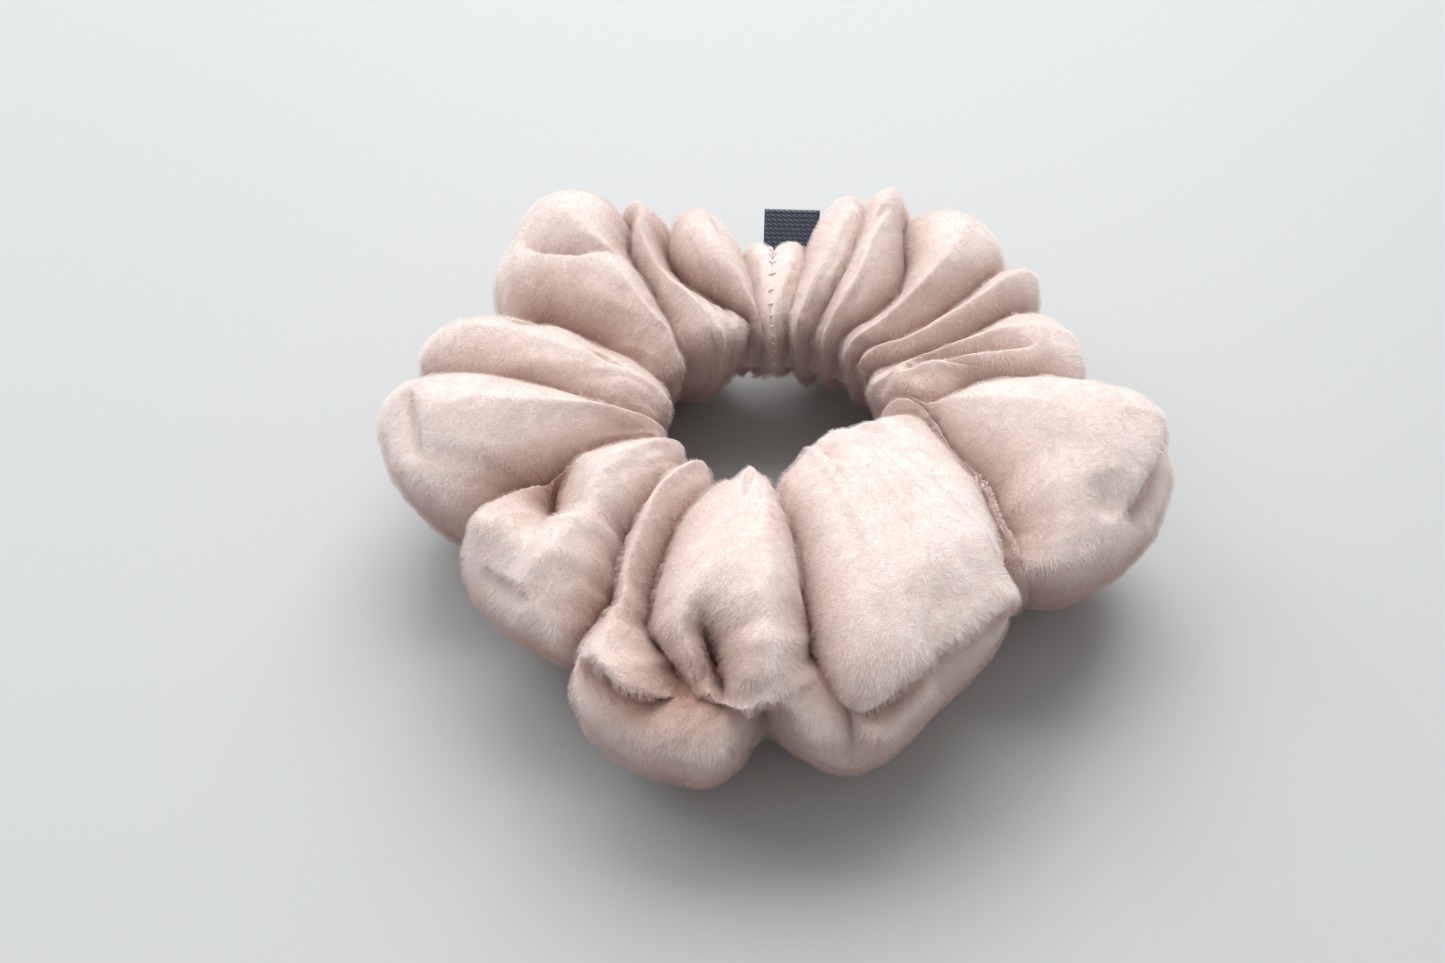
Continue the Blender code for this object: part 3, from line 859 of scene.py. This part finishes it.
def add_seam_threads(frame, gathers, points, normals, columns, thread):
    """The lengthwise seam's thread follows the folds just inside the cloth."""
    row = round(SEAM_SECTION / 360 * FINE_ROWS)
    line = points[:, row] - normals[:, row] * SEAM_INSET
    dip = SEAM_DIP * np.sin(np.arange(len(line)) * SEAM_DIP_RATE)
    line = line + normals[:, row] * dip[:, None]
    for index, here in enumerate(gathers):
        there = gathers[(index + 1) % len(gathers)]
        first, last = columns[index], columns[index + 1]
        name = f"lengthwise_seam_{here[0]}"
        whole = joined(frame, here[1], there[1])
        end = last if whole else (first + last) // 2
        piece = tube(name, line[first:end + 1], THREAD, thread)
        if whole:
            blend_at_valley(piece)
        else:
            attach(piece, here[1])
            rest = tube(f"{name}_far_side", line[end:last + 1], THREAD, thread)
            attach(rest, there[1])
        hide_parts(f"seam_thread_{here[0]}")


def add_closing_stitches(points, normals, thread):
    """Short stitches across the closing seam's groove, all round the tube."""
    stitches = []
    for row in range(0, FINE_ROWS, STITCH_EVERY):
        lift = normals[0, row] * STITCH_LIFT
        line = [points[column, row] + lift * share for column, share in zip(STITCH_COLUMNS, STITCH_SHARES)]
        stitches.append(tube(f"closing_stitch_{row:03d}", line, THREAD * 0.8, thread))
    first = stitches[0]
    first.name = "closing_stitches"
    bm = bmesh.new()
    for stitch in stitches:
        bm.from_mesh(stitch.data)
    bm.to_mesh(first.data)
    bm.free()
    for stitch in stitches[1:]:
        bpy.data.objects.remove(stitch)
    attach(first, SEAM_GATHER)
    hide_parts("closing_seam_thread")


def smooth_line(knots, count):
    """A line through the knots, rounded at each, as evenly spaced points."""
    knots = np.asarray(knots, float)
    for _ in range(3):
        cut = [knots[:1]]
        for a, b in zip(knots[:-1], knots[1:]):
            cut.append(np.stack([0.75 * a + 0.25 * b, 0.25 * a + 0.75 * b]))
        knots = np.concatenate(cut + [knots[-1:]])
    steps = np.concatenate([[0], np.cumsum(np.linalg.norm(np.diff(knots, axis=0), axis=1))])
    places = np.linspace(0, steps[-1], count)
    return np.stack([np.interp(places, steps, knots[:, axis]) for axis in range(knots.shape[1])], -1)


def label_place(centre, radius, height, side):
    """A point on the label, which leaves the seam a little to the right of it."""
    middle = polar(radius, LABEL_BEARING, height)
    across = polar(1.0, LABEL_BEARING + 90, 0.0)
    return middle + across * (side - LABEL_SHIFT) + centre


def add_label(centre, thread):
    """A woven tape folded at its tip, both ends caught in the closing seam; it bends where it leaves it."""
    path = smooth_line(LABEL_PATH, LABEL_POINTS) * MM
    along = np.gradient(path, axis=0)
    along /= np.linalg.norm(along, axis=1, keepdims=True)
    upward = np.stack([-along[:, 1], along[:, 0]], -1)
    half = (LABEL_GAP + LABEL_PLY) / 2
    close = np.clip(np.arange(len(path)) / LABEL_PINCH_POINTS, LABEL_PINCH, 1)[:, None]
    turn = np.radians(np.linspace(-LABEL_TIP_TURN, LABEL_TIP_TURN, LABEL_TIP_POINTS))[:, None]
    tip = path[-1] + half * (np.cos(turn) * along[-1] + np.sin(turn) * upward[-1])
    profile = np.concatenate([path - upward * half * close, tip, (path + upward * half * close)[::-1]])
    sides = np.linspace(-0.5, 0.5, LABEL_COLUMNS) * LABEL_WIDTH
    places = [[label_place(centre, r, z, side) for side in sides] for r, z in profile]
    rows = len(sides)
    faces = [(i * rows + j, i * rows + j + 1, (i + 1) * rows + j + 1, (i + 1) * rows + j)
             for i in range(len(profile) - 1) for j in range(rows - 1)]
    label = mesh_object("woven_label", np.array(places), faces)
    label.data.shade_smooth()
    label.data.materials.append(label_weave())
    solid = label.modifiers.new("ply", "SOLIDIFY")
    solid.thickness = LABEL_PLY
    solid.offset = 0
    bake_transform(label)
    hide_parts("label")
    at = int(np.argmax(path[:, 0] > LABEL_STITCHES * MM))
    line = []
    for step in range(LABEL_STITCH_POINTS):
        side = (step / (LABEL_STITCH_POINTS - 1) - 0.5) * 0.94 * LABEL_WIDTH
        out = half + LABEL_PLY / 2 + 0.1 * MM * math.cos(step * math.pi / 2)
        r, z = path[at] - out * upward[at]
        line.append(label_place(centre, r, z, side))
    stitches = tube("label_stitches", line, THREAD * 0.6, thread)
    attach(stitches, LABEL_TAB)
    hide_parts("label_thread")


def finish_frame(frame):
    """Better materials on the CAD nodes that stay as they are."""
    elastic = woven("elastic_braid", *ELASTIC_TONES, 0.7 * MM, 0.7)
    thread = thread_material("sewing_thread", SEWING_THREAD)
    for name, obj in frame["nodes"].items():
        material = elastic if name.startswith("elastic_l") else thread if "thread" in name else None
        if material:
            for slot in obj.material_slots:
                slot.material = material


# ---------------------------------------------------------------- the stage

def add_stage():
    bpy.ops.mesh.primitive_plane_add(size=6)
    table = bpy.context.object
    table.name = "table"
    table.data.materials.append(table_top())
    table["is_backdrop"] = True


def add_light(name, place, size, power, colour, target=(0, 0, 0.02)):
    light = bpy.data.lights.new(name, "AREA")
    light.size = size
    light.energy = power
    light.color = colour
    obj = bpy.data.objects.new(name, light)
    obj.location = place
    obj.rotation_euler = (Vector(target) - Vector(place)).to_track_quat("-Z", "Y").to_euler()
    bpy.context.scene.collection.objects.link(obj)


def add_lights():
    """A large window behind, a smaller one at the left and pale walls all round."""
    for name, place, size, power, colour in LIGHTS:
        add_light(name, place, size, power, colour)
    world = bpy.data.worlds.new("studio")
    world.use_nodes = True
    background = world.node_tree.nodes["Background"]
    background.inputs["Color"].default_value = WALLS
    background.inputs["Strength"].default_value = WALLS_STRENGTH
    scene = bpy.context.scene
    scene.world = world
    scene.view_settings.view_transform = "Standard"


def add_camera(centre):
    camera = bpy.data.cameras.new("camera")
    camera.lens = LENS
    camera.sensor_width = SENSOR
    camera.clip_start = 0.01
    obj = bpy.data.objects.new("camera", camera)
    rise = math.radians(CAMERA_ELEVATION)
    back = Vector((0, -math.cos(rise), math.sin(rise)))
    obj.location = CAMERA_TARGET + Vector(centre) + CAMERA_DISTANCE * back
    obj.rotation_euler = (math.pi / 2 - rise, 0, 0)
    bpy.context.scene.collection.objects.link(obj)
    bpy.context.scene.camera = obj


def plain(corners):
    return [[float(value) for value in corner] for corner in corners]


def main():
    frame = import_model()
    cad_box = plain(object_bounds())
    centre, gathers = gathers_of(frame)
    add_camera(centre)
    add_stage()
    add_lights()
    finish_frame(frame)
    add_cover(frame, centre, gathers)
    {"cad": cad_box, "visual": plain(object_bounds())}


main()
